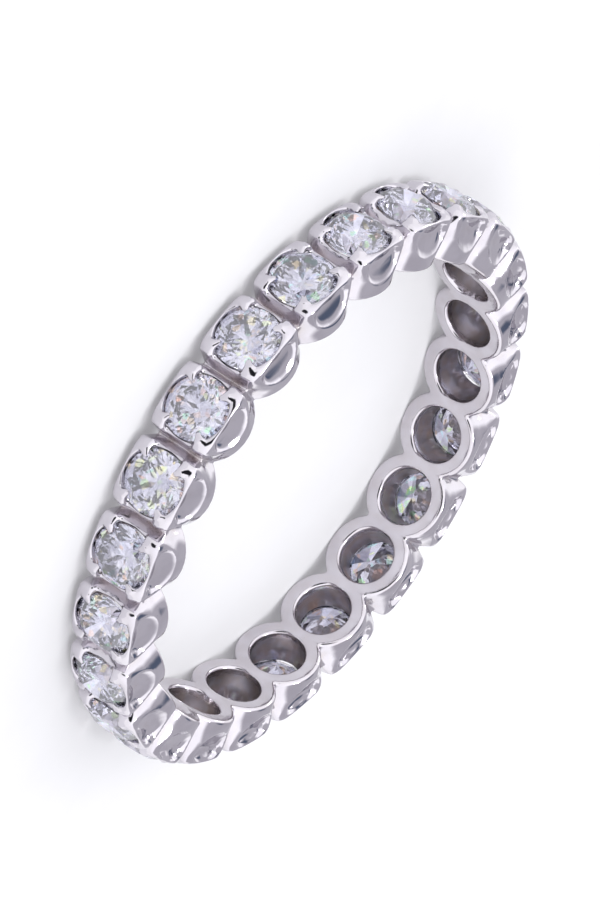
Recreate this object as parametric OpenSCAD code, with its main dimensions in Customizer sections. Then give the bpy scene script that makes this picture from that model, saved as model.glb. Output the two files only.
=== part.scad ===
// Full eternity wedding band: one cast metal ring of joined round cups and a row of brilliants.
// Millimetres. The ring lies on its side with its axis along +Z and its lowest lobes at z = 0.
// The first stone faces the front, which is -Y.

/* [Ring] */
// number of equal stones round the finger
stone_count = 23; // [19:1:27]
// radius of the finger hole, a US size 6
finger_radius = 8.25; // [7.5:0.05:10]
// greatest width of the ring along the finger, across the lobes
ring_width = 2.72; // [2.2:0.02:3.6]
// radius of the cut top of the cups between the claws
crown_radius = 9.87; // [9.2:0.01:11]

/* [Cups] */
// radius of one cup at the finger hole
cup_base_radius = 1.359; // [1.1:0.001:1.6]
// radius of one cup at its top
cup_top_radius = 1.4; // [1.1:0.01:1.7]
// half width of the ring at the top of the cups
top_half_width = 1.02; // [0.8:0.01:1.4]
// radius of the round opening from the finger side
azure_radius = 0.76; // [0.5:0.01:0.9]
// radius of the scooped opening on both sides of a cup
scoop_radius = 1.2; // [0.9:0.01:1.4]
// distance of the scoop's centre from the middle plane
scoop_offset = 1.75; // [1.5:0.01:2]
// half width of the dip over the wall between two stones
saddle_half_width = 0.58; // [0.3:0.01:0.8]
// depth of that dip under the top of the cups
saddle_depth = 0.25; // [0.1:0.01:0.4]
// depth of the groove between two neighbours under the top of the cups
groove_depth = 0.72; // [0.3:0.01:0.9]
// half width of that groove at the top
groove_half_width = 0.1; // [0.03:0.01:0.2]
// half width of the plain band that joins the cups
joint_half_width = 0.9; // [0.6:0.01:1.1]

/* [Claws] */
// height of a claw's top over the ring's axis
claw_top = 10.09; // [10:0.01:10.3]
// half width of a claw in its middle
claw_half_width = 0.21; // [0.1:0.01:0.3]
// outer radius of the claws about the stone's axis
claw_outer = 1.46; // [1.3:0.01:1.6]
// radius about the stone's axis to which a claw's point reaches
claw_reach = 0.8; // [0.6:0.01:1]
// direction of a claw from the finger's tangent, in degrees
claw_angle = 42; // [30:1:60]

/* [Stones] */
// diameter of each brilliant over its girdle
stone_diameter = 2.1; // [1.6:0.05:2.6]
// table width over the diameter
table_ratio = 0.57; // [0.5:0.01:0.65]
// crown height over the diameter
crown_ratio = 0.15; // [0.1:0.01:0.18]
// pavilion depth over the diameter
pavilion_ratio = 0.43; // [0.38:0.01:0.46]
// height of the girdle's plane over the ring's axis
girdle_radius = 9.75; // [9:0.01:10.5]
// clear gap between a stone and the metal
stone_gap = 0.03; // [0.01:0.01:0.1]

/* [Hidden] */
$fn = 96;
step_angle = 360 / stone_count;
half_width = ring_width / 2;
base_chamfer = 0.16;
// half width of the grooves' flat floor
groove_floor = 0.015;
// flats of each round form: cups, ring, stone seats and scoops
cup_sides = 16;
ring_sides = 2 * stone_count;
bore_sides = 2 * stone_count;
seat_sides = 12;
scoop_sides = 12;
girdle_half = 0.025;
stone_radius = stone_diameter / 2;
seat_radius = (stone_radius + stone_gap) / cos(180 / seat_sides);
bore_radius = finger_radius / cos(180 / bore_sides);
table_radius = table_ratio * stone_diameter / 2 / cos(22.5);
crown_height = crown_ratio * stone_diameter;
pavilion_depth = pavilion_ratio * stone_diameter;
// where the star facets end, and where the lower halves end
star_radius = table_radius * cos(22.5)
    + 0.5 * (stone_radius - table_radius * cos(22.5));
lower_radius = 0.23 * stone_radius;
// where the opening from the finger side meets the cone that the stone sits over
throat_height = girdle_radius - girdle_half - 0.02
    - (seat_radius - azure_radius) * pavilion_depth / stone_radius;
metal_colour = [0.82, 0.81, 0.83];
stone_colour = [0.85, 0.92, 0.98, 0.55];

// Places a part that is drawn along +Z on the axis of cup i, with its x along the ring's axis.
module at_cup(i)
    translate([0, 0, half_width])
        rotate([0, 0, -90 + i * step_angle])
            rotate([0, 90, 0])
                children();

// Round body of one cup, chamfered where it meets the finger, with its flats
// on the stated radii.
module cup_body() {
    flat = cos(180 / cup_sides);
    rotate([0, 0, 180 / cup_sides])
        rotate_extrude($fn = cup_sides)
            polygon([
                [0, finger_radius - 0.4],
                [(cup_base_radius - base_chamfer) / flat, finger_radius - 0.1],
                [cup_base_radius / flat, finger_radius + base_chamfer],
                [cup_top_radius, crown_radius + 0.4],
                [0, crown_radius + 0.4]
            ]);
}

// Section that trims the cups to the ring's tapered sides. It stands a little clear of
// the cups' widest place, so that their own flats lie on the ring's width.
module trim_section()
    polygon([
        [finger_radius - 1, -half_width - 0.06],
        [finger_radius + 0.2, -half_width - 0.03],
        [crown_radius, -top_half_width],
        [crown_radius, top_half_width],
        [finger_radius + 0.2, half_width + 0.03],
        [finger_radius - 1, half_width + 0.06]
    ]);

// Section of the plain band under the cups, which fills the notches between the lobes.
module joint_section()
    polygon([
        [finger_radius - 0.3, -joint_half_width],
        [finger_radius + 0.4, -joint_half_width],
        [finger_radius + 1, 0],
        [finger_radius + 0.4, joint_half_width],
        [finger_radius - 0.3, joint_half_width]
    ]);

// The cups joined in a ring and turned to the outer section.
module joined_cups() {
    intersection() {
        union()
            for (i = [0 : stone_count - 1])
                at_cup(i) cup_body();
        translate([0, 0, half_width])
            rotate_extrude($fn = ring_sides)
                trim_section();
    }
    translate([0, 0, half_width])
        rotate_extrude($fn = ring_sides)
            joint_section();
}

// Space for one stone with its gap, and the opening under it from the finger side.
module stone_space()
    rotate([0, 0, 180 / seat_sides])
        rotate_extrude($fn = seat_sides)
            polygon([
                [0, finger_radius - 1],
                [azure_radius, finger_radius - 1],
                [azure_radius, throat_height],
                [seat_radius, girdle_radius - girdle_half - 0.02],
                [seat_radius, crown_radius + 0.5],
                [0, crown_radius + 0.5]
            ]);

// Scooped openings on both sides of a cup.
module scoops()
    for (side = [-1, 1])
        translate([side * scoop_offset, 0, girdle_radius + 0.08])
            rotate([0, 90, 0])
                sphere(scoop_radius, $fn = scoop_sides);

// Dip over the wall between two stones, and the groove that parts the two cups.
module dip_and_groove() {
    rotate([90, 0, 0])
        linear_extrude(height = 1, center = true)
            polygon([
                [-saddle_half_width, crown_radius + 0.01],
                [-saddle_half_width / 2, crown_radius - saddle_depth],
                [saddle_half_width / 2, crown_radius - saddle_depth],
                [saddle_half_width, crown_radius + 0.01]
            ]);
    rotate([90, 0, 90])
        linear_extrude(height = 4, center = true)
            polygon([
                [-groove_floor, crown_radius - groove_depth],
                [groove_floor, crown_radius - groove_depth],
                [groove_half_width * 1.2, crown_radius + 0.2 * groove_depth],
                [-groove_half_width * 1.2, crown_radius + 0.2 * groove_depth]
            ]);
}

// One claw, with x away from the stone's axis: it stands on the cup's wall, is broad in
// its middle, and leans in along the stone's crown to a point.
module claw() {
    slope = crown_height / (stone_radius - table_radius);
    // height of the claw's underside, which clears the crown, at a radius
    function under(r) =
        girdle_radius + girdle_half + 1.5 * stone_gap + (stone_radius - r) * slope;
    sides = [for (side = [-1, 1]) each [
        [stone_radius + 0.1, 0.8 * side * claw_half_width, under(stone_radius + 0.1)],
        [claw_outer - 0.1, 0.7 * side * claw_half_width, under(claw_outer - 0.1)],
        [claw_outer - 0.1, side * claw_half_width, girdle_radius + 0.1],
        [stone_radius + 0.06, side * claw_half_width, claw_top - 0.06],
        [claw_reach, 0.25 * side * claw_half_width, under(claw_reach)]
    ]];
    ridge = [
        [claw_outer, 0, under(claw_outer) + 0.02],
        [stone_radius + 0.12, 0, claw_top],
        [claw_reach + 0.04, 0, under(claw_reach) + 0.06]
    ];
    points = concat(sides, ridge);
    hull()
        polyhedron(points = points, faces = [[for (k = [0 : len(points) - 1]) k]]);
}

// The four claws of one cup.
module claws()
    for (angle = [claw_angle, -claw_angle, 180 - claw_angle, 180 + claw_angle])
        rotate([0, 0, 90 + angle])
            claw();

// The joined cups with their seats, scoops, dips and grooves, and the finger hole.
module cut_cups()
    difference() {
        joined_cups();
        for (i = [0 : stone_count - 1]) {
            at_cup(i) stone_space();
            at_cup(i) scoops();
            at_cup(i + 0.5) dip_and_groove();
        }
        translate([0, 0, -1])
            rotate([0, 0, 180 / bore_sides])
                cylinder(r = bore_radius, h = ring_width + 2, $fn = bore_sides);
    }

// One cast piece: cups, joining band and claws.
module band()
    color(metal_colour)
        union() {
            cut_cups();
            for (i = [0 : stone_count - 1])
                at_cup(i) claws();
        }

// Height over the girdle's plane of a point on the plane through three points.
function plane_height(a, b, c, p) =
    let (n = cross(b - a, c - a))
    a.z - (n.x * (p.x - a.x) + n.y * (p.y - a.y)) / n.z;

// A point at a radius, an angle and a height.
function polar(r, angle, z) = [r * cos(angle), r * sin(angle), z];

// Height of the crown's main facets at a point on the line between two of them.
function crown_star_height() =
    girdle_half + crown_height * (stone_radius - star_radius * cos(22.5))
        / (stone_radius - table_radius);

// Height of the pavilion's main facets where the lower halves end.
function lower_height() =
    -girdle_half - pavilion_depth * (1 - lower_radius * cos(22.5) / stone_radius);

// Round brilliant: table, 8 stars, 8 mains, 16 upper halves, 32 girdle facets,
// 16 lower halves and 8 pavilion mains. Its girdle's plane is z = 0.
module brilliant() {
    table = [for (k = [0 : 7])
        polar(table_radius, 45 * k, girdle_half + crown_height)];
    stars = [for (k = [0 : 7])
        polar(star_radius, 45 * k + 22.5, crown_star_height())];
    lowers = [for (k = [0 : 7])
        polar(lower_radius, 45 * k + 22.5, lower_height())];
    culet = [[0, 0, -girdle_half - pavilion_depth]];
    upper_mid = plane_height(
        stars[0], polar(stone_radius, 0, girdle_half),
        polar(stone_radius, 22.5, girdle_half), polar(stone_radius, 11.25, 0));
    lower_mid = plane_height(
        lowers[0], polar(stone_radius, 0, -girdle_half),
        polar(stone_radius, 22.5, -girdle_half), polar(stone_radius, 11.25, 0));
    girdle_top = [for (k = [0 : 31])
        polar(stone_radius, 11.25 * k, k % 2 == 0 ? girdle_half : upper_mid)];
    girdle_low = [for (k = [0 : 31])
        polar(stone_radius, 11.25 * k, k % 2 == 0 ? -girdle_half : lower_mid)];
    // first index of each group of points
    s = 8;
    u = 16;
    v = 48;
    w = 80;
    c = 88;
    polyhedron(
        points = concat(table, stars, girdle_top, girdle_low, lowers, culet),
        faces = concat(
            [[for (k = [7 : -1 : 0]) k]],
            [for (k = [0 : 7]) [k, (k + 1) % 8, s + k]],
            [for (k = [0 : 7]) [s + (k + 7) % 8, k, s + k, u + 4 * k]],
            [for (k = [0 : 7]) for (j = [0, 2])
                [s + k, u + (4 * k + j + 2) % 32, u + (4 * k + j + 1) % 32,
                    u + 4 * k + j]],
            [for (k = [0 : 31])
                [u + k, u + (k + 1) % 32, v + (k + 1) % 32, v + k]],
            [for (k = [0 : 7]) for (j = [0, 2])
                [w + k, v + 4 * k + j, v + (4 * k + j + 1) % 32,
                    v + (4 * k + j + 2) % 32]],
            [for (k = [0 : 7]) [c, w + (k + 7) % 8, v + 4 * k, w + k]]
        ));
}

// Stone number n of the row, counted from the front.
module stone(n)
    color(stone_colour)
        at_cup(n - 1)
            translate([0, 0, girdle_radius])
                brilliant();

band();
stone(1);  // stone_01
stone(2);  // stone_02
stone(3);  // stone_03
stone(4);  // stone_04
stone(5);  // stone_05
stone(6);  // stone_06
stone(7);  // stone_07
stone(8);  // stone_08
stone(9);  // stone_09
stone(10);  // stone_10
stone(11);  // stone_11
stone(12);  // stone_12
stone(13);  // stone_13
stone(14);  // stone_14
stone(15);  // stone_15
stone(16);  // stone_16
stone(17);  // stone_17
stone(18);  // stone_18
stone(19);  // stone_19
stone(20);  // stone_20
stone(21);  // stone_21
stone(22);  // stone_22
stone(23);  // stone_23
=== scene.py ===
"""A narrow white gold wedding band with a full row of round diamonds, lying on its side.

Sizes are in millimetres while a form is worked out and in metres once it is a mesh.
Each diamond sits in a round cup with four leaf claws and a scooped opening on both
sides. One quarter of one cup is worked out as a smooth form, and a node tree repeats
it round the finger.
"""

import itertools
import logging
import math
from dataclasses import dataclass
from enum import Enum
from typing import Any

import bpy
import numpy as np
from mathutils import Matrix, Vector


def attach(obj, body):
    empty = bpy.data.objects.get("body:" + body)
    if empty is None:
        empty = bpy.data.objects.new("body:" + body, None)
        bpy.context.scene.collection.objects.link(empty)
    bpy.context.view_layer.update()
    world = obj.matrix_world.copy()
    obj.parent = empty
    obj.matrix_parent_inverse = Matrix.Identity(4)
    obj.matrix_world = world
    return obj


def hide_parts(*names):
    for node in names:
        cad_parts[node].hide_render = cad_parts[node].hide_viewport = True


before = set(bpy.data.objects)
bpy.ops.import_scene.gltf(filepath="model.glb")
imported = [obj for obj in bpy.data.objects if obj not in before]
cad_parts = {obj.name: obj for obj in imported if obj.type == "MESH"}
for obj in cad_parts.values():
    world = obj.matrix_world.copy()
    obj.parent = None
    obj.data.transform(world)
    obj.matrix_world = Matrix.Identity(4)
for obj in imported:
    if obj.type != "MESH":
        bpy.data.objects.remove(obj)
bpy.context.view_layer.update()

MM = 0.001
LOG = logging.getLogger("diamond_band")
Colour = tuple[float, float, float]


class Sum(Enum):
    """Ways in which a shader value is worked out from others."""

    ADD = "ADD"
    SUBTRACT = "SUBTRACT"
    MULTIPLY = "MULTIPLY"
    DIVIDE = "DIVIDE"


class Signal:
    """A value, a vector or a colour on its way through a shader."""

    def __init__(self, sheet: "Sheet", socket: bpy.types.NodeSocket) -> None:
        """Keep the sheet that the signal runs on and the socket that it leaves.

        Args:
            sheet: The sheet of nodes.
            socket: The output socket.
        """
        self.sheet = sheet
        self.socket = socket

    def _worked(self, way: Sum, first: Any, second: Any) -> "Signal":
        """Join two operands with the node that suits this signal's kind.

        Args:
            way: What is done with them.
            first: The left operand.
            second: The right operand.

        Returns:
            The result.
        """
        if self.socket.type == "RGBA":
            settings = {"data_type": "RGBA", "blend_type": way.value}
            return self.sheet.node("ShaderNodeMix", settings, {0: 1.0, 6: first, 7: second}, 2)
        kind = "ShaderNodeVectorMath" if self.socket.type == "VECTOR" else "ShaderNodeMath"
        return self.sheet.node(kind, {"operation": way.value}, {0: first, 1: second})

    def __add__(self, other: Any) -> "Signal":
        """Signal plus other."""
        return self._worked(Sum.ADD, self, other)

    def __radd__(self, other: Any) -> "Signal":
        """Other plus signal."""
        return self._worked(Sum.ADD, other, self)

    def __sub__(self, other: Any) -> "Signal":
        """Signal minus other."""
        return self._worked(Sum.SUBTRACT, self, other)

    def __rsub__(self, other: Any) -> "Signal":
        """Other minus signal."""
        return self._worked(Sum.SUBTRACT, other, self)

    def __mul__(self, other: Any) -> "Signal":
        """Signal times other."""
        return self._worked(Sum.MULTIPLY, self, other)

    def __rmul__(self, other: Any) -> "Signal":
        """Other times signal."""
        return self._worked(Sum.MULTIPLY, other, self)

    def __truediv__(self, other: Any) -> "Signal":
        """Signal divided by other."""
        return self._worked(Sum.DIVIDE, self, other)

    def __rtruediv__(self, other: Any) -> "Signal":
        """Other divided by signal."""
        return self._worked(Sum.DIVIDE, other, self)

    def eased(self, low: float, high: float, start: float = 0.0, end: float = 1.0) -> "Signal":
        """Ease the signal from one range into another, held at both ends.

        Args:
            low: Value of the signal at which the result is start.
            high: Value of the signal at which the result is end.
            start: Result at low.
            end: Result at high.

        Returns:
            The eased value.
        """
        inputs = {0: self, 1: low, 2: high, 3: start, 4: end}
        return self.sheet.node("ShaderNodeMapRange", {"interpolation_type": "SMOOTHSTEP"}, inputs)

    def along(self, axis: Vector) -> "Signal":
        """Length of this vector along an axis.

        Args:
            axis: The axis, of length one.

        Returns:
            The length along it.
        """
        return self.sheet.node(
            "ShaderNodeVectorMath", {"operation": "DOT_PRODUCT"}, {0: self, 1: tuple(axis)}, "Value"
        )

    def between(self, first: Any, second: Any) -> "Signal":
        """Blend two colours by this value.

        Args:
            first: Colour where the value is 0.
            second: Colour where the value is 1.

        Returns:
            The blended colour.
        """
        return self.sheet.node("ShaderNodeMix", {"data_type": "RGBA"}, {0: self, 6: first, 7: second}, 2)


class Sheet:
    """The node sheet of one material, of the room's light or of one repeat."""

    def __init__(self, tree: bpy.types.NodeTree) -> None:
        """Clear the tree and keep it.

        Args:
            tree: The node tree.
        """
        self.tree = tree
        self.tree.nodes.clear()

    def node(self, kind: str, settings: dict[str, Any], inputs: dict[Any, Any], output: Any = 0) -> Signal:
        """Add one node, set it and join what feeds it.

        Args:
            kind: Blender's name of the node.
            settings: Its own settings by name.
            inputs: Constants and signals by socket name or number.
            output: Name or number of the socket that the signal leaves from.

        Returns:
            The chosen output.
        """
        made = self.tree.nodes.new(kind)
        for name, value in settings.items():
            setattr(made, name, value)
        for name, value in inputs.items():
            self.feed(made.inputs[name], value)
        return Signal(self, made.outputs[output])

    def feed(self, socket: bpy.types.NodeSocket, value: Any) -> None:
        """Give one input its constant or its signal, or several signals to a joining input.

        Args:
            socket: The input.
            value: A constant, a signal or a list of signals.
        """
        if isinstance(value, list):
            for one in value:
                self.tree.links.new(one.socket, socket)
        elif isinstance(value, Signal):
            self.tree.links.new(value.socket, socket)
        elif socket.type == "RGBA" and len(value) == 3:
            socket.default_value = (*value, 1.0)
        else:
            socket.default_value = value

    def end(self, kind: str, name: Any, signal: Signal) -> None:
        """Close the sheet with its output node.

        Args:
            kind: Blender's name of the output node.
            name: Name or number of the input that takes the result.
            signal: The result.
        """
        self.feed(self.tree.nodes.new(kind).inputs[name], signal)

    def place(self) -> Signal:
        """Object coordinates, in metres."""
        return self.node("ShaderNodeTexCoord", {}, {}, "Object")

    def clouds(self, where: Signal, size_mm: float, detail: float = 3.0, rough: float = 0.5) -> Signal:
        """Cloudy pattern around 0.5.

        Args:
            where: Coordinates in metres.
            size_mm: Size of one cloud.
            detail: How many finer layers it has.
            rough: How strong they are.

        Returns:
            The pattern.
        """
        inputs = {"Vector": where, "Scale": 1.0 / (size_mm * MM), "Detail": detail, "Roughness": rough}
        return self.node("ShaderNodeTexNoise", {}, inputs, "Fac")

    def held(self, name: str) -> Signal:
        """Value that a mesh keeps at each of its points."""
        return self.node("ShaderNodeAttribute", {"attribute_name": name}, {}, "Fac")


@dataclass(frozen=True)
class PolishedWhiteGold:
    """Rhodium-bright white gold, hand polished, with painted shade: darker and warmer deep in the cuts, in the
    openings and a little on the finger side.
    """

    tone: Colour = (0.66, 0.635, 0.68)
    cloud: Colour = (0.60, 0.575, 0.62)
    # Colour of the painted shade, darker and warmer, for the cuts, the openings and the finger side.
    painted_shade: Colour = (0.60, 0.53, 0.505)
    gloss: float = 0.08
    deep_gloss: float = 0.36
    cloud_size: float = 0.9
    patch_size: float = 0.45
    hairline_size: float = 0.035
    hairline_relief: float = 0.00001

    def material(self) -> bpy.types.Material:
        """Build the finish.

        Returns:
            The material.
        """
        made = bpy.data.materials.new("polished_white_gold")
        made.use_nodes = True
        sheet = Sheet(made.node_tree)
        where = sheet.place()
        wave = sheet.clouds(where, self.cloud_size, 2.0)
        hairline = sheet.clouds(where, self.hairline_size, 4.0, 0.6)
        depth = sheet.held("depth")
        edge = sheet.held("edge")
        patch = sheet.clouds(where, self.patch_size, 2.0).eased(0.38, 0.62, 0.25, 1.0)
        clean = wave.eased(0.35, 0.65).between(self.tone, self.cloud)
        # Painted shade: the darker, warmer colour is mixed in patchily where the depth attribute marks the cuts, the
        # openings and the finger side.
        colour = (depth * patch).between(clean, self.painted_shade)
        rough = wave.eased(0.3, 0.7, self.gloss - 0.02, self.gloss + 0.03)
        rough = rough + depth * (self.deep_gloss - self.gloss) + edge * hairline.eased(0.4, 0.6, 0.0, 0.05)
        bump = {"Strength": 0.05, "Distance": self.hairline_relief, "Height": hairline}
        relief = sheet.node("ShaderNodeBump", {}, bump, "Normal")
        inputs = {"Base Color": colour, "Metallic": 1.0, "Roughness": rough, "Normal": relief}
        sheet.end("ShaderNodeOutputMaterial", "Surface", sheet.node("ShaderNodeBsdfPrincipled", {}, inputs))
        return made


@dataclass(frozen=True)
class ClearDiamond:
    """Clear brilliant-cut diamond with polished facets, cool in tone, with painted fire: fixed coloured flecks in its
    colour stand in for flashes of dispersed light.
    """

    tint: Colour = (0.80, 0.79, 0.91)
    shade: Colour = (0.62, 0.62, 0.79)
    bend: float = 2.417
    clear_share: float = 0.92
    # Strength, share, size and hues of the painted fire, coloured flecks that stand in for flashes of dispersed
    # light.
    fire: float = 0.5
    fire_share: float = 0.12
    fire_size: float = 0.22
    warmest_hue: float = 0.03
    hue_range: float = 0.62

    def material(self) -> bpy.types.Material:
        """Build the finish.

        Returns:
            The material.
        """
        made = bpy.data.materials.new("clear_diamond")
        made.use_nodes = True
        sheet = Sheet(made.node_tree)
        where = sheet.place()
        wave = sheet.clouds(where, 0.5, 2.0)
        colour = wave.eased(0.35, 0.65).between(self.tint, self.shade)
        # Painted fire: a few Voronoi cells get strong hues in the colour, standing in for flashes of dispersed light.
        grain = {"Vector": where, "Scale": 1.0 / (self.fire_size * MM)}
        cell = sheet.node("ShaderNodeTexVoronoi", {}, grain, "Color")
        pick, draw = (sheet.node("ShaderNodeSeparateColor", {}, {0: cell}, n) for n in (0, 1))
        hue = draw * draw * self.hue_range + self.warmest_hue
        painted_fire = sheet.node("ShaderNodeCombineColor", {"mode": "HSV"}, {0: hue, 1: self.fire, 2: 1.0})
        rare = 1.0 - self.fire_share
        colour = pick.eased(rare, rare + 0.02).between(colour, painted_fire)
        rough = wave.eased(0.3, 0.7, 0.0, 0.012)
        inputs = {"Base Color": colour, "Roughness": rough, "IOR": self.bend, "Transmission Weight": self.clear_share}
        sheet.end("ShaderNodeOutputMaterial", "Surface", sheet.node("ShaderNodeBsdfPrincipled", {}, inputs))
        return made


@dataclass(frozen=True)
class PaleFloor:
    """Matt pale sheet on a light table."""

    tone: Colour = (0.75, 0.75, 0.76)
    fleck: Colour = (0.73, 0.73, 0.74)
    glow: float = 0.22

    def material(self) -> bpy.types.Material:
        """Build the finish.

        Returns:
            The material.
        """
        made = bpy.data.materials.new("pale_floor")
        made.use_nodes = True
        sheet = Sheet(made.node_tree)
        grain = sheet.clouds(sheet.place(), 6.0, 4.0)
        colour = grain.eased(0.35, 0.65).between(self.tone, self.fleck)
        inputs = {"Base Color": colour, "Roughness": 0.9, "Emission Color": colour, "Emission Strength": self.glow}
        sheet.end("ShaderNodeOutputMaterial", "Surface", sheet.node("ShaderNodeBsdfPrincipled", {}, inputs))
        return made


def ramp(x: np.ndarray) -> np.ndarray:
    """Ease from 0 to 1 while x goes from 0 to 1."""
    x = np.clip(x, 0.0, 1.0)
    return x * x * (3.0 - 2.0 * x)


def cut(first: np.ndarray, second: np.ndarray, radius: Any) -> np.ndarray:
    """What two solids share, with its new edge rounded.

    Args:
        first: Signed distance to one solid.
        second: Signed distance to the other.
        radius: Radius of the edge.

    Returns:
        Signed distance to the result.
    """
    corner = np.hypot(np.maximum(first + radius, 0.0), np.maximum(second + radius, 0.0))
    return np.minimum(-radius, np.maximum(first, second)) + corner


def melt(first: np.ndarray, second: np.ndarray, radius: float) -> np.ndarray:
    """Two solids as one, with a fillet where they meet.

    Args:
        first: Signed distance to one solid.
        second: Signed distance to the other.
        radius: Radius of the fillet.

    Returns:
        Signed distance to the result.
    """
    return -cut(-first, -second, radius)


@dataclass
class CupForm:
    """The smooth form of the band at one cup, all in millimetres.

    A point is (u, t, z): u outwards along the stone's axis, t round the finger and
    z along the finger, measured from the middle of the band.
    """

    stones: int = 23
    finger_radius: float = 8.25
    finger_edge: float = 0.15
    half_width: float = 1.36

    # The cup's wall, which flares outwards, and the flat sides that trim it.
    wall_radius: float = 1.375
    wall_flare: float = 0.17
    flare_start: float = 8.6
    flare_run: float = 1.2
    trim_foot: float = 1.395
    trim_slope: float = 0.165
    trim_start: float = 8.45
    trim_scale: float = 0.984
    trim_edge: float = 0.05
    trim_edge_gain: float = 0.13

    # The lip, lower between the claws and at the cup's corners.
    crown_height: float = 9.92
    crown_edge: float = 0.08
    saddle_depth: float = 0.22
    saddle_half_width: float = 0.98
    saddle_run: float = 0.5
    corner_drop: float = 0.09
    corner_start: float = 1.15
    corner_run: float = 0.35

    # The bowl in the cup's side.
    scoop_height: float = 9.55
    scoop_radius: float = 0.88
    scoop_brim: float = 1.0
    scoop_squeeze: float = 3.0
    scoop_depth: float = 0.25
    scoop_bend_round: float = 0.02
    scoop_bend_up: float = 0.26
    scoop_wall: float = 0.06
    scoop_edge: float = 0.055
    scoop_fold: float = 0.06
    scoop_fade: float = 0.1

    # What joins two cups and what parts them.
    joint_half_width: float = 0.64
    joint_height: float = 9.2
    joint_edge: float = 0.12
    joint_fillet: float = 0.07
    cup_fillet: float = 0.09
    cup_fillet_gain: float = 0.21
    cup_fillet_start: float = 8.7
    cup_fillet_run: float = 0.8
    groove_floor: float = 9.28
    groove_rise: float = 0.12
    groove_half_width: float = 0.02
    groove_flare: float = 0.40
    groove_edge: float = 0.11

    # The opening under the stone, a little longer round the finger at its foot.
    azure_radius: float = 0.85
    azure_height: float = 9.44
    azure_stretch: float = 0.07
    azure_stretch_top: float = 9.0
    azure_stretch_run: float = 0.5
    azure_edge: float = 0.07
    azure_edge_gain: float = 0.05
    azure_edge_top: float = 8.8
    azure_edge_run: float = 0.3
    seat_radius: float = 1.07
    seat_height: float = 9.70

    # The stone's edge and top, and the claws that hold it.
    stone_radius: float = 1.05
    girdle_height: float = 9.775
    crown_slope: float = 0.7
    crown_air: float = 0.045
    berth_radius: float = 1.075
    berth_edge: float = 0.01
    claw_angle: float = 42.0
    claw_spread: float = 0.62
    claw_stops: tuple[tuple[float, float, float], ...] = (
        (1.19, 9.55, 0.21),
        (1.21, 9.76, 0.20),
        (1.09, 9.92, 0.11),
        (0.86, 9.975, 0.05),
    )
    claw_knee: float = 0.05
    claw_bend: float = 0.04
    claw_inside: float = 1.09
    claw_edge: float = 0.02
    claw_fillet: float = 0.1

    # The strip at the bowl's brim, which keeps its fine triangles.
    strip_inset: float = 0.08
    strip_half_width: float = 0.15
    strip_foot: float = 0.75

    @property
    def half_sector(self) -> float:
        """Half of one cup's share of the circle, in radians."""
        return math.pi / self.stones

    def trim(self, radius: np.ndarray, z: np.ndarray) -> np.ndarray:
        """Flat side of the band, which leans inwards.

        Args:
            radius: Distance from the finger's axis.
            z: Place along the finger.

        Returns:
            Signed distances.
        """
        return (z - self.trim_foot + (radius - self.trim_start) * self.trim_slope) * self.trim_scale

    def cup(self, u: np.ndarray, t: np.ndarray, z: np.ndarray) -> np.ndarray:
        """Plain round cup, trimmed to the band's width and turned off on top.

        Args:
            u: Height of each point.
            t: Place round the finger.
            z: Place along the finger.

        Returns:
            Signed distances.
        """
        reach = np.hypot(t, z)
        rise = ramp((u - self.flare_start) / self.flare_run)
        wall = reach - self.wall_radius - self.wall_flare * rise
        side = cut(wall, self.trim(np.hypot(u, t), z), self.trim_edge + self.trim_edge_gain * rise)
        drop = self.saddle_depth * ramp((self.saddle_half_width - z) / self.saddle_run)
        drop = drop + self.corner_drop * ramp((reach - self.corner_start) / self.corner_run)
        return cut(side, u - self.crown_height + drop, self.crown_edge)

    def scoop(self, u: np.ndarray, t: np.ndarray, z: np.ndarray) -> np.ndarray:
        """Shallow bowl cut into the cup's outside, below the stone's edge.

        Args:
            u: Height of each point.
            t: Place round the finger.
            z: Place along the finger.

        Returns:
            Signed distances.
        """
        lift = u - self.scoop_height
        off = np.maximum(np.hypot(t, lift * np.where(lift > 0.0, self.scoop_squeeze, 1.0)), 0.001)
        side, foot = t * self.scoop_radius / off, self.scoop_height + lift * self.scoop_radius / off
        wall = self.wall_radius + self.wall_flare * ramp((foot - self.flare_start) / self.flare_run)
        flat = self.trim_foot - (np.hypot(foot, side) - self.trim_start) * self.trim_slope
        skin = np.minimum(np.sqrt(wall * wall - side * side), flat)
        brim = (skin + self.scoop_brim * (off - self.scoop_radius) - z) / math.hypot(1.0, self.scoop_brim)
        bulge = self.scoop_bend_round * t * t + self.scoop_bend_up * lift * lift
        dish = (bulge - self.scoop_depth - self.trim(np.hypot(u, t), z)) * 0.96
        bowl = cut(brim, dish, self.scoop_fold)
        return cut(bowl, self.scoop_wall - self.seat(np.hypot(t, z), u), self.scoop_fade)

    def joint(self, radius: np.ndarray, z: np.ndarray) -> np.ndarray:
        """Metal that joins the cups low down between them.

        Args:
            radius: Distance from the finger's axis.
            z: Place along the finger.

        Returns:
            Signed distances.
        """
        roof = ((radius - self.joint_height) * 0.9 + z * 0.6) / 1.0817
        return cut(z - self.joint_half_width, roof, self.joint_edge)

    def seat(self, reach: np.ndarray, u: np.ndarray) -> np.ndarray:
        """Round opening that holds the stone and goes on down to the finger.

        Args:
            reach: Distance from the stone's axis.
            u: Height of each point.

        Returns:
            Signed distances.
        """
        slope = (self.seat_radius - self.azure_radius) / (self.seat_height - self.azure_height)
        cone = (reach - self.azure_radius - (u - self.azure_height) * slope) / math.hypot(1.0, slope)
        return np.minimum(reach - self.azure_radius, np.maximum(cone, reach - self.seat_radius))

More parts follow.
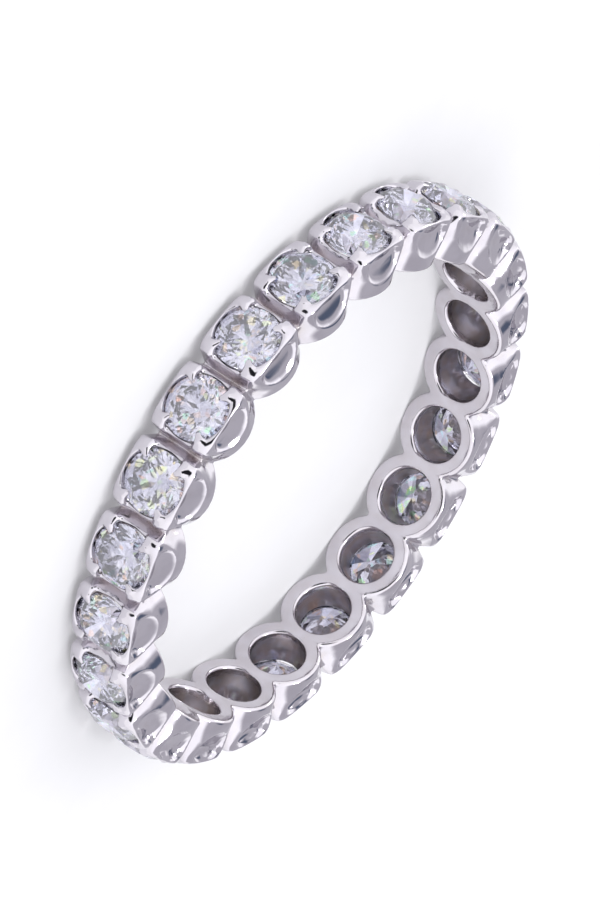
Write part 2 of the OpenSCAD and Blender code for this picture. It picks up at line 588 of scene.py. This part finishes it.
    def limb(self, a: np.ndarray, b: np.ndarray, u: np.ndarray, first: int) -> np.ndarray:
        """Rounded limb of a claw, between two of its balls.

        Args:
            a: Place outwards from the stone's axis.
            b: Place across the claw.
            u: Height of each point.
            first: Number of the first ball.

        Returns:
            Signed distances.
        """
        (a0, u0, r0), (a1, u1, r1) = self.claw_stops[first : first + 2]
        run, lift = a1 - a0, u1 - u0
        share = np.clip(((a - a0) * run + (u - u0) * lift) / (run * run + lift * lift), 0.0, 1.0)
        away = np.sqrt((a - a0 - share * run) ** 2 + (u - u0 - share * lift) ** 2 + b * b)
        return away - r0 - (r1 - r0) * share

    def claw(self, u: np.ndarray, t: np.ndarray, z: np.ndarray) -> np.ndarray:
        """One leaf claw, from the cup's corner to its tip over the stone.

        Args:
            u: Height of each point.
            t: Place round the finger, on the claw's side.
            z: Place along the finger, on the claw's side.

        Returns:
            Signed distances.
        """
        turn = math.radians(self.claw_angle)
        a = t * math.cos(turn) + z * math.sin(turn)
        b = (z * math.cos(turn) - t * math.sin(turn)) * self.claw_spread
        foot, bend, tip = (self.limb(a, b, u, first) for first in range(3))
        leaf = melt(foot, melt(bend, tip, self.claw_bend), self.claw_knee)
        reach = np.hypot(t, z)
        return cut(leaf, -np.maximum(reach - self.claw_inside, self.crown(reach, u)), self.claw_edge)

    def crown(self, reach: np.ndarray, u: np.ndarray) -> np.ndarray:
        """Cone over the stone's sloping top, with a little air.

        Args:
            reach: Distance from the stone's axis.
            u: Height of each point.

        Returns:
            Signed distances.
        """
        over = u - self.girdle_height - self.crown_air - self.crown_slope * (self.stone_radius - reach)
        return over * 0.819

    def berth(self, reach: np.ndarray, u: np.ndarray) -> np.ndarray:
        """Room that the fillets leave round the stone's edge.

        Args:
            reach: Distance from the stone's axis.
            u: Height of each point.

        Returns:
            Signed distances.
        """
        edge = np.maximum(reach - self.berth_radius, self.crown(reach, u))
        return np.maximum(edge, self.seat_height - 0.03 - u)

    def plain(self, points: np.ndarray) -> np.ndarray:
        """How plain the surface is, from 0 at the bowls' brims to 1 away from them.

        Args:
            points: Points (u, t, z).

        Returns:
            The shares.
        """
        u, t, z = self.parts(points)[:3]
        off = np.hypot(t, u - self.scoop_height) - self.scoop_radius + self.strip_inset
        near = ramp((self.strip_half_width - np.abs(off)) / 0.05)
        return 1.0 - near * ramp((self.scoop_height + 0.1 - u) / 0.1) * ramp((z - self.strip_foot) / 0.05)

    def parts(self, points: np.ndarray) -> tuple:
        """Fold points into one quarter of a cup and give the main distances there.

        Args:
            points: Points (u, t, z).

        Returns:
            Heights, places round and along the finger, radii, distances from the stone's
            axis and distances to the plane between two cups.
        """
        u, t, z = points[..., 0], np.abs(points[..., 1]), np.abs(points[..., 2])
        side = u * math.sin(self.half_sector) - t * math.cos(self.half_sector)
        return u, t, z, np.hypot(u, t), np.hypot(t, z), side

    def groove(self, radius: np.ndarray, side: np.ndarray, z: np.ndarray) -> np.ndarray:
        """Thin saw cut between two cups, shallower at the band's sides.

        Args:
            radius: Distance from the finger's axis.
            side: Distance to the plane between two cups.
            z: Place along the finger.

        Returns:
            Signed distances.
        """
        floor = self.groove_floor + self.groove_rise * ramp(z - 0.1)
        open_half = self.groove_half_width + np.maximum(radius - floor, 0.0) * self.groove_flare
        return np.maximum((side - open_half) * 0.92, (floor - radius) * 0.9)

    def distance(self, points: np.ndarray) -> np.ndarray:
        """Signed distance of points to the metal.

        Args:
            points: Points (u, t, z).

        Returns:
            Distances, negative in the metal.
        """
        u, t, z, radius, reach, side = self.parts(points)
        sine, cosine = math.sin(self.half_sector), math.cos(self.half_sector)
        fillet = self.cup_fillet + self.cup_fillet_gain * ramp((radius - self.cup_fillet_start) / self.cup_fillet_run)
        body = melt(self.cup(u, t, z), self.cup(u - 2.0 * side * sine, t + 2.0 * side * cosine, z), fillet)
        body = melt(body, self.joint(radius, z), self.joint_fillet)
        body = cut(body, -self.groove(radius, side, z), self.groove_edge)
        body = cut(body, self.finger_radius - radius, self.finger_edge)
        across = t * (1.0 - self.azure_stretch * ramp((self.azure_stretch_top - u) / self.azure_stretch_run))
        edge = self.azure_edge + self.azure_edge_gain * ramp((self.azure_edge_top - u) / self.azure_edge_run)
        body = cut(body, -self.seat(np.hypot(across, z), u), edge)
        body = cut(body, -self.scoop(u, t, z), self.scoop_edge)
        body = melt(body, self.claw(u, t, z), self.claw_fillet)
        return cut(body, -self.berth(reach, u), self.berth_edge)

    def slope(self, points: np.ndarray, step: float = 0.001) -> np.ndarray:
        """Direction in which the distance grows, which is the surface's own direction.

        Args:
            points: Points (u, t, z).
            step: Step of the difference.

        Returns:
            Gradients, close to length one.
        """
        found = np.empty_like(points)
        for axis in range(3):
            shift = np.zeros(3)
            shift[axis] = step
            found[..., axis] = self.distance(points + shift) - self.distance(points - shift)
        return found / (2.0 * step)


@dataclass
class QuarterMesh:
    """The surface of one quarter of a cup, found on a grid of (angle, z, radius)."""

    form: CupForm
    cell: float = 0.036
    keep: float = 0.147
    inner_radius: float = 8.15
    depth: float = 2.05
    width: float = 1.45

    def build(self) -> tuple[np.ndarray, np.ndarray]:
        """Find the surface, thin it where it is flat and set it on the form again.

        Returns:
            Points in millimetres and triangles.
        """
        points, quads = self.skin()
        points = self.settle(points, *self.borders(points, quads))
        points, faces = self.thinned(points, quads)
        return self.settle(points, *self.borders(points, faces)), faces

    def skin(self) -> tuple[np.ndarray, np.ndarray]:
        """Put one point in each grid cell that the surface passes and join them.

        Returns:
            Points (u, t, z) and faces of four.
        """
        form = self.form
        spans = (form.half_sector * 9.5, self.width, self.depth)
        counts = [math.ceil(span / self.cell) for span in spans]
        angle = (np.arange(counts[0] + 2) - 0.5) * form.half_sector / counts[0]
        along = (np.arange(counts[1] + 2) - 0.5) * spans[1] / counts[1]
        radius = self.inner_radius + np.arange(counts[2] + 1) * spans[2] / counts[2]
        grid = np.stack(np.meshgrid(angle, along, radius, indexing="ij"), -1)
        inside = form.distance(self.unrolled(grid))
        total = np.zeros(tuple(n - 1 for n in inside.shape) + (3,))
        hits = np.zeros(total.shape[:3])
        for axis in range(3):
            low, high = self.pair(axis)
            first, second = inside[low], inside[high]
            crossed = (first < 0) != (second < 0)
            share = np.where(crossed, first / np.where(crossed, first - second, 1.0), 0.0)[..., None]
            where = grid[low] * (1.0 - share) + grid[high] * share
            others = [n for n in range(3) if n != axis]
            for step in itertools.product((0, 1), repeat=2):
                part = [slice(None)] * 3
                for other, start in zip(others, step):
                    part[other] = slice(start, start + total.shape[other])
                part = tuple(part)
                total += np.where(crossed[part][..., None], where[part], 0.0)
                hits += crossed[part]
        used = hits > 0
        number = -np.ones(used.shape, int)
        number[used] = np.arange(used.sum())
        points = self.unrolled(total[used] / hits[used][:, None])
        return points, self.joined(inside < 0, number)

    @staticmethod
    def unrolled(grid: np.ndarray) -> np.ndarray:
        """Turn (angle, z, radius) into (u, t, z)."""
        return np.stack(
            [grid[..., 2] * np.cos(grid[..., 0]), grid[..., 2] * np.sin(grid[..., 0]), grid[..., 1]], -1
        )

    @staticmethod
    def pair(axis: int) -> tuple[tuple, tuple]:
        """Slices of the lower and the upper neighbours along an axis."""
        low, high = [slice(None)] * 3, [slice(None)] * 3
        low[axis], high[axis] = slice(0, -1), slice(1, None)
        return tuple(low), tuple(high)

    def joined(self, solid: np.ndarray, number: np.ndarray) -> np.ndarray:
        """Make a face round each grid edge that the surface crosses.

        Args:
            solid: Whether each grid point lies in the metal.
            number: Number of the point in each cell.

        Returns:
            Faces of four.
        """
        faces = []
        for axis in range(3):
            across = [(axis + 1) % 3, (axis + 2) % 3]
            low, high = (list(part) for part in self.pair(axis))
            for other in across:
                low[other] = high[other] = slice(1, -1)
            first, second = solid[tuple(low)], solid[tuple(high)]
            crossed = first != second
            cells = np.argwhere(crossed)
            corners = []
            for step in ((0, 0), (1, 0), (1, 1), (0, 1)):
                there = cells.copy()
                there[:, across[0]] += step[0]
                there[:, across[1]] += step[1]
                corners.append(number[there[:, 0], there[:, 1], there[:, 2]])
            ring = np.stack(corners, 1)
            back = ~first[crossed]
            ring[back] = ring[back][:, ::-1]
            faces.append(ring)
        return np.concatenate(faces)

    def borders(self, points: np.ndarray, faces: np.ndarray) -> tuple[np.ndarray, np.ndarray, np.ndarray]:
        """Find the points on the three planes where the quarter meets its mirror images.

        Args:
            points: Points (u, t, z).
            faces: Faces of any one size.

        Returns:
            Which points lie on the cup's own plane, on the plane between cups and on the
            middle plane of the band.
        """
        sides = np.concatenate([faces[:, [n, (n + 1) % faces.shape[1]]] for n in range(faces.shape[1])])
        sides.sort(axis=1)
        once, count = np.unique(sides, axis=0, return_counts=True)
        once = once[count == 1]
        middle = points[once].mean(axis=1)
        between = middle[:, 0] * math.sin(self.form.half_sector) - middle[:, 1] * math.cos(self.form.half_sector)
        nearest = np.argmin(np.abs(np.stack([middle[:, 1], between, middle[:, 2]])), axis=0)
        found = []
        for plane in range(3):
            on_plane = np.zeros(len(points), bool)
            on_plane[once[nearest == plane]] = True
            found.append(on_plane)
        return tuple(found)

    def settle(self, points: np.ndarray, own: np.ndarray, between: np.ndarray, middle: np.ndarray) -> np.ndarray:
        """Move the points onto the form, with the border points kept on their planes.

        Args:
            points: Points (u, t, z).
            own: Which lie on the cup's own plane.
            between: Which lie on the plane between cups.
            middle: Which lie on the middle plane of the band.

        Returns:
            The moved points.
        """
        points = points.copy()
        for _ in range(5):
            slope = self.form.slope(points)
            slope[own, 1] = 0.0
            slope[middle, 2] = 0.0
            away = np.array([math.sin(self.form.half_sector), -math.cos(self.form.half_sector), 0.0])
            slope[between] -= (slope[between] @ away)[:, None] * away
            move = (self.form.distance(points) / np.maximum((slope * slope).sum(1), 0.2))[:, None] * slope
            size = np.linalg.norm(move, axis=1, keepdims=True)
            points -= move * np.minimum(1.0, 0.5 * self.cell / np.maximum(size, 1e-9))
            points[own, 1] = 0.0
            points[middle, 2] = 0.0
            radius = np.hypot(points[between, 0], points[between, 1])
            points[between, 0] = radius * math.cos(self.form.half_sector)
            points[between, 1] = radius * math.sin(self.form.half_sector)
        return points

    def thinned(self, points: np.ndarray, faces: np.ndarray) -> tuple[np.ndarray, np.ndarray]:
        """Take out the faces that the smooth form does not need.

        Args:
            points: Points (u, t, z).
            faces: Faces of four.

        Returns:
            Points and triangles.
        """
        rough = mesh_of("quarter_rough", points, faces)
        holder = bpy.data.objects.new("quarter_rough", rough)
        bpy.context.collection.objects.link(holder)
        holder.modifiers.new("sliced", "TRIANGULATE")
        group = holder.vertex_groups.new(name="plain")
        for number, share in enumerate(self.form.plain(points)):
            group.add([number], float(share), "REPLACE")
        thin = holder.modifiers.new("thinned", "DECIMATE")
        thin.ratio, thin.vertex_group = self.keep, group.name
        done = plain_mesh(holder)
        bpy.data.objects.remove(holder)
        count = len(done.vertices)
        moved = np.empty(count * 3, np.float32)
        done.vertices.foreach_get("co", moved)
        corners = np.array([list(face.vertices) for face in done.polygons], int)
        bpy.data.meshes.remove(done)
        return moved.reshape(-1, 3).astype(float), corners


def mesh_of(name: str, points: np.ndarray, faces: np.ndarray) -> bpy.types.Mesh:
    """Make a mesh of points and faces.

    Args:
        name: Its name.
        points: Its points.
        faces: Its faces.

    Returns:
        The mesh.
    """
    made = bpy.data.meshes.new(name)
    made.from_pydata(points.tolist(), [], faces.tolist())
    made.update()
    return made


def plain_mesh(holder: bpy.types.Object) -> bpy.types.Mesh:
    """Make a plain mesh of what an object's modifiers give.

    Args:
        holder: The object.

    Returns:
        The mesh.
    """
    graph = bpy.context.evaluated_depsgraph_get()
    return bpy.data.meshes.new_from_object(holder.evaluated_get(graph), depsgraph=graph)


@dataclass
class RingRepeat:
    """Node tree that mirrors a quarter of a cup twice and sets the cup round the finger."""

    stones: int
    half_width: float
    weld: float = 0.0005

    def tree(self) -> bpy.types.NodeTree:
        """Build the tree.

        Returns:
            The node tree, with inputs for the count, the half width, the weld and the finish.
        """
        group = bpy.data.node_groups.new("cups_round_the_finger", "GeometryNodeTree")
        face = group.interface
        face.new_socket("Geometry", in_out="INPUT", socket_type="NodeSocketGeometry")
        face.new_socket("Stones", in_out="INPUT", socket_type="NodeSocketInt").default_value = self.stones
        face.new_socket("Half width", in_out="INPUT", socket_type="NodeSocketFloat")
        face.new_socket("Weld", in_out="INPUT", socket_type="NodeSocketFloat")
        face.new_socket("Finish", in_out="INPUT", socket_type="NodeSocketMaterial")
        face.new_socket("Geometry", in_out="OUTPUT", socket_type="NodeSocketGeometry")
        sheet = Sheet(group)
        given = group.nodes.new("NodeGroupInput")
        quarter, stones, half, weld, finish = (Signal(sheet, given.outputs[n]) for n in range(5))
        cup = self.mirrored(sheet, self.mirrored(sheet, quarter, (1.0, 1.0, -1.0)), (-1.0, 1.0, 1.0))
        spots = sheet.node("GeometryNodePoints", {}, {"Count": stones})
        number = sheet.node("GeometryNodeInputIndex", {}, {})
        turn = 2.0 * math.pi / stones * number
        facing = sheet.node("ShaderNodeCombineXYZ", {}, {"Z": turn})
        around = sheet.node(
            "GeometryNodeInstanceOnPoints", {}, {"Points": spots, "Instance": cup, "Rotation": facing}
        )
        solid = sheet.node("GeometryNodeRealizeInstances", {}, {"Geometry": around})
        lift = sheet.node("ShaderNodeCombineXYZ", {}, {"Z": half})
        raised = sheet.node("GeometryNodeTransform", {}, {"Geometry": solid, "Translation": lift})
        whole = sheet.node("GeometryNodeMergeByDistance", {}, {"Geometry": raised, "Distance": weld})
        smooth = sheet.node("GeometryNodeSetShadeSmooth", {}, {"Geometry": whole})
        dressed = sheet.node("GeometryNodeSetMaterial", {}, {"Geometry": smooth, "Material": finish})
        sheet.end("NodeGroupOutput", "Geometry", dressed)
        return group

    @staticmethod
    def mirrored(sheet: Sheet, piece: Signal, scale: tuple[float, float, float]) -> Signal:
        """Join a piece with its mirror image, turned right side out.

        Args:
            sheet: The sheet of nodes.
            piece: The geometry.
            scale: Scale of the image, with one side below zero.

        Returns:
            Both together.
        """
        image = sheet.node("GeometryNodeTransform", {}, {"Geometry": piece, "Scale": scale})
        image = sheet.node("GeometryNodeFlipFaces", {}, {"Mesh": image})
        return sheet.node("GeometryNodeJoinGeometry", {}, {"Geometry": [piece, image]})

    def applied(self, name: str, quarter: bpy.types.Mesh, finish: bpy.types.Material) -> bpy.types.Object:
        """Repeat a quarter into the whole band.

        Args:
            name: Name of the piece.
            quarter: The quarter's mesh, in metres.
            finish: The band's material.

        Returns:
            A plain mesh object.
        """
        holder = bpy.data.objects.new("quarter", quarter)
        bpy.context.collection.objects.link(holder)
        repeat = holder.modifiers.new("repeat", "NODES")
        repeat.node_group = self.tree()
        given = {"Stones": self.stones, "Half width": self.half_width, "Weld": self.weld * MM, "Finish": finish}
        for item in repeat.node_group.interface.items_tree:
            if item.in_out == "INPUT" and item.name in given:
                repeat[item.identifier] = given[item.name]
        mesh = plain_mesh(holder)
        bpy.data.objects.remove(holder)
        mesh.name = name
        band = bpy.data.objects.new(name, mesh)
        bpy.context.collection.objects.link(band)
        return band


@dataclass
class Band:
    """The gold band with its cups and claws, in one piece."""

    form: CupForm
    finish: PolishedWhiteGold
    # Strength of the painted shade in the valleys between cups and on the finger side.
    valley_shade: float = 0.55
    finger_shade: float = 0.16

    def build(self) -> bpy.types.Object:
        """Make the band, dress it and let it stand for the CAD band.

        Returns:
            The finished piece.
        """
        points, faces = QuarterMesh(self.form).build()
        placed = np.stack([points[:, 1], -points[:, 0], points[:, 2]], 1) * MM
        repeat = RingRepeat(self.form.stones, self.form.half_width * MM)
        band = repeat.applied("gold_band", mesh_of("quarter", placed, faces), self.finish.material())
        self.mark(band.data)
        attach(band, "root")
        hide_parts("band")
        LOG.info("gold_band: %d points, %d triangles", len(band.data.vertices), len(band.data.polygons))
        return band

    def folded(self, mesh: bpy.types.Mesh) -> tuple[np.ndarray, np.ndarray]:
        """Bring each point of the band back into its own cup.

        Args:
            mesh: The band's mesh.

        Returns:
            Points (u, t, z) in millimetres and the angle of each one's cup.
        """
        flat = np.empty(len(mesh.vertices) * 3, np.float32)
        mesh.vertices.foreach_get("co", flat)
        x, y, z = (flat.reshape(-1, 3).astype(float) / MM).T
        sector = 2.0 * self.form.half_sector
        angle = np.round(np.arctan2(x, -y) / sector) * sector
        radius, turn = np.hypot(x, y), np.arctan2(x, -y) - angle
        return np.stack([radius * np.cos(turn), radius * np.sin(turn), z - self.form.half_width], 1), angle

    def mark(self, mesh: bpy.types.Mesh) -> None:
        """Give the mesh the form's own surface directions and what the finish follows: the share of painted shade and
        where the surface bends sharply.

        Args:
            mesh: The band's mesh.
        """
        points, angle = self.folded(mesh)
        slope = self.form.slope(points)
        slope /= np.maximum(np.linalg.norm(slope, axis=1, keepdims=True), 1e-9)
        out, side = slope[:, 0], slope[:, 1]
        normals = np.stack(
            [out * np.sin(angle) + side * np.cos(angle), side * np.sin(angle) - out * np.cos(angle), slope[:, 2]], 1
        )
        mesh.normals_split_custom_set_from_vertices(normals.tolist())
        bend = self.form.distance(points + slope * 0.06) - 0.06
        # The depth attribute carries the painted shade; the edge attribute marks sharp bends for the roughness.
        for name, values in (("depth", self.depth(points)), ("edge", ramp(-bend / 0.02))):
            mesh.attributes.new(name, "FLOAT", "POINT").data.foreach_set("value", values.astype(np.float32))

    def depth(self, points: np.ndarray) -> np.ndarray:
        """How deep in the metal's cuts the points lie, which sets their share of painted shade, from 0 outside to 1
        in the openings.

        Args:
            points: Points (u, t, z).

        Returns:
            The depths.
        """
        z, radius, reach, between = self.form.parts(points)[2:]
        # Painted shade: darker in the valleys between cups, in the openings under the stones and on the finger side.
        valley = ramp((1.25 - z) / 0.5) * ramp(1.0 - between / 0.35)
        valley = self.valley_shade * valley * ramp((9.8 - radius) / 0.4) * ramp((radius - 8.6) / 0.2)
        opening = ramp((1.02 - reach) / 0.08) * ramp((radius - 8.32) / 0.12) * ramp((9.85 - radius) / 0.1)
        finger = self.finger_shade * ramp((8.4 - radius) / 0.1)
        return np.maximum(np.maximum(valley, opening), finger)


@dataclass
class StoneRow:
    """The diamonds, which keep the shape that the CAD gives them."""

    finish: ClearDiamond

    def dress(self) -> None:
        """Give each stone its finish."""
        material = self.finish.material()
        for name in sorted(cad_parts):
            if name.startswith("stone_"):
                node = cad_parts[name]
                if not node.material_slots:
                    node.data.materials.append(material)
                for slot in node.material_slots:
                    slot.material = material
                LOG.info("%s: %d triangles, dressed", name, len(node.data.polygons))


@dataclass(frozen=True)
class Spot:
    """A round patch of the white tent that is brighter or darker than the rest."""

    toward: tuple[float, float, float]
    core: float
    edge: float
    colour: Colour


@dataclass(frozen=True)
class Lamp:
    """A soft square lamp that points at the band, in metres and watts."""

    name: str
    place: tuple[float, float, float]
    size: float
    power: float


@dataclass
class Studio:
    """Floor, light and camera."""

    floor_reach: float = 1.5
    room_light: float = 1.0
    tent_low: Colour = (1.3, 1.3, 1.32)
    tent_high: Colour = (1.55, 1.55, 1.6)
    spots: tuple[Spot, ...] = (
        Spot((0.0, 0.56, 0.83), 36.0, 47.0, (0.60, 0.59, 0.64)),
        Spot((0.0, 0.95, 0.20), 22.0, 32.0, (0.60, 0.59, 0.64)),
        Spot((-0.30, 0.45, 0.84), 4.0, 16.0, (0.12, 0.15, 0.22)),
        Spot((0.0, -0.92, 0.38), 14.0, 20.0, (0.02, 0.02, 0.025)),
    )
    soft_lamps: tuple[Lamp, ...] = (
        Lamp("key_lamp", (-0.1, -0.12, 0.58), 0.12, 0.5),
        Lamp("side_lamp", (-0.5, 0.25, 0.2), 0.1, 0.15),
    )
    frame_pixels: float = 900.0
    focal_pixels: float = 15594.8
    camera_place: tuple[float, float, float] = (-3.1628, -448.93566, 188.80048)
    camera_right: tuple[float, float, float] = (-0.5437511626, 0.3266957976, 0.7730488529)
    camera_up: tuple[float, float, float] = (-0.8392297511, -0.2058454029, -0.5033101380)

    def build(self) -> None:
        """Set up everything round the band."""
        self.camera()
        self.floor()
        self.room()
        self.lamps()
        bpy.context.scene.view_settings.view_transform = "Standard"

    def camera(self) -> None:
        """Put the camera at the photograph's angle, with its own roll."""
        lens = bpy.data.cameras.new("camera")
        lens.sensor_fit = "VERTICAL"
        lens.sensor_height = 24.0
        lens.sensor_width = 16.0
        lens.lens = self.focal_pixels * lens.sensor_height / self.frame_pixels
        lens.clip_start, lens.clip_end = 0.01, 20.0
        right, up = Vector(self.camera_right).normalized(), Vector(self.camera_up).normalized()
        back = right.cross(up).normalized()
        made = bpy.data.objects.new("camera", lens)
        place = Matrix((right, up, back)).transposed().to_4x4()
        place.translation = Vector(self.camera_place) * MM
        made.matrix_world = place
        bpy.context.collection.objects.link(made)
        bpy.context.scene.camera = made

    def floor(self) -> None:
        """Lay the pale floor at the band's lowest side."""
        reach = self.floor_reach
        corners = np.array([(x * reach, y * reach, 0.0) for x, y in ((-1, -1), (1, -1), (1, 1), (-1, 1))])
        made = bpy.data.objects.new("studio_floor", mesh_of("studio_floor", corners, np.array([[0, 1, 2, 3]])))
        made.data.materials.append(PaleFloor().material())
        bpy.context.collection.objects.link(made)

    def room(self) -> None:
        """Light the room as a white tent that is dark where the camera looks in."""
        world = bpy.data.worlds.new("room")
        world.use_nodes = True
        bpy.context.scene.world = world
        sheet = Sheet(world.node_tree)
        toward = sheet.node("ShaderNodeTexCoord", {}, {}, "Generated")
        height = toward.along(Vector((0.0, 0.0, 1.0)))
        tent = height.eased(0.0, 0.9).between(self.tent_low, self.tent_high)
        for spot in self.spots:
            edge, core = (math.cos(math.radians(angle)) for angle in (spot.edge, spot.core))
            share = toward.along(Vector(spot.toward).normalized()).eased(edge, core)
            tent = share.between(tent, spot.colour)
        light = sheet.node("ShaderNodeBackground", {}, {"Color": tent, "Strength": self.room_light})
        sheet.end("ShaderNodeOutputWorld", "Surface", light)

    def lamps(self) -> None:
        """Hang the soft lamps over the band."""
        for lamp in self.soft_lamps:
            light = bpy.data.lights.new(lamp.name, "AREA")
            light.size, light.energy = lamp.size, lamp.power
            made = bpy.data.objects.new(lamp.name, light)
            made.location = lamp.place
            made.rotation_euler = (-Vector(lamp.place)).to_track_quat("-Z", "Y").to_euler()
            bpy.context.collection.objects.link(made)


def main() -> None:
    """Build the band, dress the stones and set up the studio."""
    Studio().build()
    Band(CupForm(), PolishedWhiteGold()).build()
    StoneRow(ClearDiamond()).dress()


if __name__ == "__main__":
    logging.basicConfig(level=logging.INFO, format="%(message)s")
    main()
